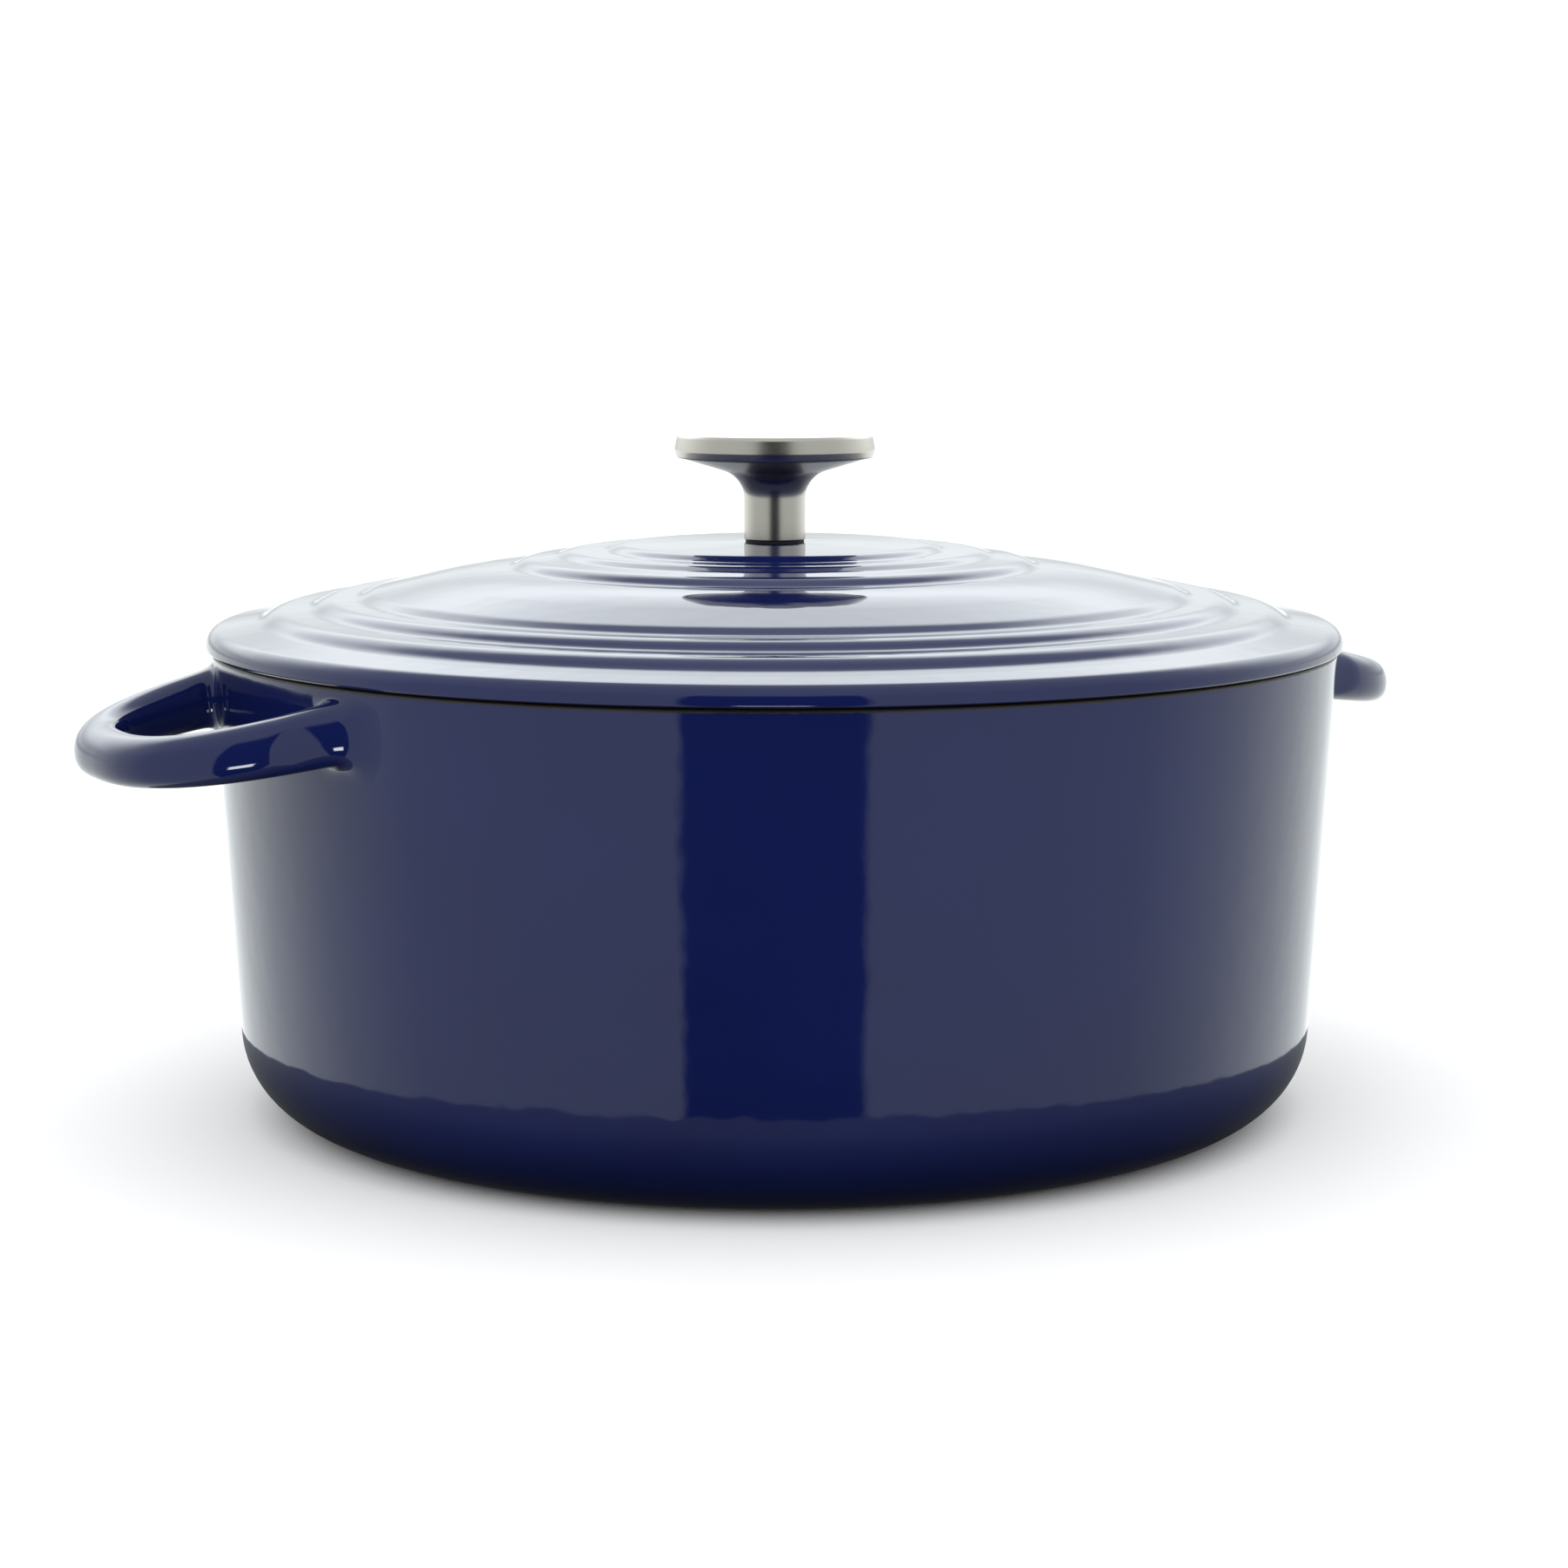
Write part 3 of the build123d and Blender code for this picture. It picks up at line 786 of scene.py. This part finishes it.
def camera():
    lens = bpy.data.cameras.new("camera")
    lens.lens = CAMERA_LENS
    lens.sensor_width = 36
    lens.clip_start = 0.01
    lens.clip_end = 100
    made = new_object("camera", lens)
    made.location = TOWARDS_CAMERA * CAMERA_DISTANCE + RIGHT_OF_CAMERA * CAMERA_ASIDE
    made.location.z = CAMERA_HEIGHT
    ahead = -TOWARDS_CAMERA * math.cos(CAMERA_PITCH) - Vector((0, 0, math.sin(CAMERA_PITCH)))
    made.rotation_mode = "QUATERNION"
    made.rotation_quaternion = ahead.to_track_quat("-Z", "Y")
    bpy.context.scene.camera = made


# Light levels by direction; angles in degrees, from the camera's side round to the back, and upwards
GAP = (17.6, 19.4)              # the dark gap beside the camera
WALL_TURNS = [(78, 0.75), (102, 1.0), (119, 1.25), (140, 1.42)]
BACK = (110, 150)               # where the side walls turn into the back wall
HORIZON, HORIZON_HALF, HORIZON_LIGHT = 1.5, 3.5, 0.62      # dimmer line where the back wall meets the floor
LAMP_RISE, LAMP_LIGHT = (9, 20), 2.7        # lamps over the back wall
LAMP_FALL, TOP_LIGHT = (32, 48), 0.85
# Small lamp low on the camera's side: half width, height, half height, softness of its edge
LOW_LAMP_HALF, LOW_LAMP_RISE, LOW_LAMP_TALL, LOW_LAMP_SOFT = 7.0, -30.0, 3.5, 2.0
LOW_LAMP_LIGHT = 15.0
FILL_LIGHT = 1.5                # what lights the diffuse colours
REFLECTED_TINT = (0.95, 1.0, 1.0, 1)
SHADE_RADIUS, SHADE_CORE = 0.178, 0.11      # the painted shade round the pot, a glowing disc, metres
SHADE_FORWARD = 0.02            # its centre stands this far towards the camera
SHADE_DEPTH = 0.001             # how far it lies under the sweep
SHADE_LIGHT = (0.03, 0.28)      # glow of the painted shade at its core and at its edge
FLOOR_RADIUS = 20.0


def disc(name, radius, place):
    """Flat round piece of the set, facing up."""
    work = bmesh.new()
    bmesh.ops.create_circle(work, cap_ends=True, segments=128, radius=radius)
    mesh = bpy.data.meshes.new(name)
    work.to_mesh(mesh)
    work.free()
    made = new_object(name, mesh)
    made.location = place
    return made


def floor():
    """White sweep, clear from below. It takes the soft shadow under the pot."""
    made = disc("floor", FLOOR_RADIUS, (0, 0, 0))
    material, tree, shader, here = blank_material("white_sweep_matt")
    shader.inputs["Base Color"].default_value = (0.88, 0.885, 0.89, 1)
    shader.inputs["Roughness"].default_value = 1.0
    shader.inputs["Specular IOR Level"].default_value = 0.0
    from_below = node(tree, "ShaderNodeNewGeometry").outputs["Backfacing"]
    clear = node(tree, "ShaderNodeBsdfTransparent").outputs[0]
    end = shader.outputs[0].links[0].to_node
    one_sided = node(tree, "ShaderNodeMixShader", {0: from_below, 1: shader.outputs[0], 2: clear})
    tree.links.new(one_sided.outputs[0], end.inputs["Surface"])
    made.data.materials.append(material)
    made.visible_glossy = False
    made.visible_diffuse = False


def painted_floor_shade():
    """Painted shade: a glowing disc, unseen by the camera, that stands in for the sweep's shaded part as the
    pot sees it, darkest at the foot. It lies just under the sweep.
    """
    place = TOWARDS_CAMERA * SHADE_FORWARD - Vector((0, 0, SHADE_DEPTH))
    made = disc("shaded floor", SHADE_RADIUS, place)
    material, tree, shader, here = blank_material("painted_shade_glow_under_sweep")
    reach = node(tree, "ShaderNodeVectorMath", {0: here}, operation="LENGTH").outputs["Value"]
    glow = node(tree, "ShaderNodeMapRange", {"Value": reach, "From Min": SHADE_CORE, "From Max": SHADE_RADIUS,
                                             "To Min": SHADE_LIGHT[0], "To Max": SHADE_LIGHT[1]}).outputs[0]
    # painted shade: the disc glows dimmest at the foot and brighter outwards, in place of the floor's real
    # shadow
    tree.links.new(glow, shader.inputs["Emission Strength"])
    shader.inputs["Base Color"].default_value = (0, 0, 0, 1)
    shader.inputs["Emission Color"].default_value = REFLECTED_TINT
    shader.inputs["Specular IOR Level"].default_value = 0.0
    made.data.materials.append(material)
    made.visible_camera = False
    made.visible_shadow = False


def studio():
    """White tent with a dark gap on the camera's side and a bright band over the back wall."""
    world = bpy.data.worlds.new("studio")
    bpy.context.scene.world = world
    world.use_nodes = True
    tree = world.node_tree
    tree.nodes.clear()
    way = node(tree, "ShaderNodeTexCoord").outputs["Generated"]
    rise = node(tree, "ShaderNodeSeparateXYZ", {0: way}).outputs["Z"]
    climb = node(tree, "ShaderNodeMath", {0: rise}, operation="ARCSINE").outputs[0]
    climb = node(tree, "ShaderNodeMath", {0: climb}, operation="DEGREES").outputs[0]
    level = node(tree, "ShaderNodeVectorMath", {0: way, 1: (1, 1, 0)}, operation="MULTIPLY").outputs[0]
    heading = node(tree, "ShaderNodeVectorMath", {0: level}, operation="NORMALIZE").outputs[0]
    facing = node(tree, "ShaderNodeVectorMath", {0: heading, 1: TOWARDS_CAMERA}, operation="DOT_PRODUCT")
    turn = node(tree, "ShaderNodeMath", {0: facing.outputs["Value"]}, operation="ARCCOSINE").outputs[0]
    turn = node(tree, "ShaderNodeMath", {0: turn}, operation="DEGREES").outputs[0]
    walls = node(tree, "ShaderNodeMapRange", {"Value": turn, "From Min": GAP[0], "From Max": GAP[1],
                                              "To Max": WALL_TURNS[0][1]}).outputs[0]
    for (start, low), (end, high) in zip(WALL_TURNS, WALL_TURNS[1:]):
        more = node(tree, "ShaderNodeMapRange", {"Value": turn, "From Min": start, "From Max": end,
                                                 "To Max": high - low}).outputs[0]
        walls = node(tree, "ShaderNodeMath", {0: walls, 1: more}, operation="ADD").outputs[0]
    behind = node(tree, "ShaderNodeMapRange", {"Value": turn, "From Min": BACK[0], "From Max": BACK[1]},
                  interpolation_type="SMOOTHSTEP").outputs[0]
    off = node(tree, "ShaderNodeMath", {0: climb, 1: HORIZON}, operation="SUBTRACT").outputs[0]
    away = node(tree, "ShaderNodeMath", {0: off}, operation="ABSOLUTE").outputs[0]
    seam = node(tree, "ShaderNodeMapRange", {"Value": away, "From Max": HORIZON_HALF, "To Min": HORIZON_LIGHT,
                                             "To Max": 1.0}).outputs[0]
    dimmer = node(tree, "ShaderNodeMix", {0: behind, 2: 1.0, 3: seam}).outputs[0]
    walls = node(tree, "ShaderNodeMath", {0: walls, 1: dimmer}, operation="MULTIPLY").outputs[0]
    low, high = LAMP_RISE
    lamps = node(tree, "ShaderNodeMapRange", {"Value": climb, "From Min": low, "From Max": high},
                 interpolation_type="SMOOTHSTEP").outputs[0]
    lamps = node(tree, "ShaderNodeMath", {0: lamps, 1: behind}, operation="MULTIPLY").outputs[0]
    walls = node(tree, "ShaderNodeMix", {0: lamps, 2: walls, 3: LAMP_LIGHT}).outputs[0]
    low, high = LAMP_FALL
    over = node(tree, "ShaderNodeMapRange", {"Value": climb, "From Min": low, "From Max": high},
                interpolation_type="SMOOTHSTEP").outputs[0]
    seen = node(tree, "ShaderNodeMix", {0: over, 2: walls, 3: TOP_LIGHT}).outputs[0]
    ahead = node(tree, "ShaderNodeMapRange", {"Value": turn, "From Min": LOW_LAMP_HALF, "To Min": 1.0,
                                              "From Max": LOW_LAMP_HALF + LOW_LAMP_SOFT, "To Max": 0.0})
    off = node(tree, "ShaderNodeMath", {0: climb, 1: LOW_LAMP_RISE}, operation="SUBTRACT").outputs[0]
    away = node(tree, "ShaderNodeMath", {0: off}, operation="ABSOLUTE").outputs[0]
    level_with = node(tree, "ShaderNodeMapRange", {"Value": away, "From Min": LOW_LAMP_TALL, "To Min": 1.0,
                                                   "From Max": LOW_LAMP_TALL + LOW_LAMP_SOFT, "To Max": 0.0})
    lamp = node(tree, "ShaderNodeMath", {0: ahead.outputs[0], 1: level_with.outputs[0]}, operation="MULTIPLY")
    lamp = lamp.outputs[0]
    seen = node(tree, "ShaderNodeMix", {0: lamp, 2: seen, 3: LOW_LAMP_LIGHT}).outputs[0]
    rays = node(tree, "ShaderNodeLightPath").outputs
    lit = node(tree, "ShaderNodeMix", {0: rays["Is Glossy Ray"], 2: FILL_LIGHT, 3: seen}).outputs[0]
    tint = node(tree, "ShaderNodeMix", {0: rays["Is Glossy Ray"], 6: (1, 1, 1, 1), 7: REFLECTED_TINT},
                data_type="RGBA").outputs[2]
    shade = node(tree, "ShaderNodeBackground", {"Color": tint, "Strength": lit})
    node(tree, "ShaderNodeOutputWorld", {"Surface": shade.outputs[0]})


camera()
floor()
painted_floor_shade()
studio()
bpy.context.scene.view_settings.view_transform = "Standard"

pot = pot_casting()
lid = lid_casting()
for piece, body in ((pot, POT_BODY), (lid, LID_BODY)):
    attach(piece, body)
    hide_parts(body)
knob_pieces()
hardware()
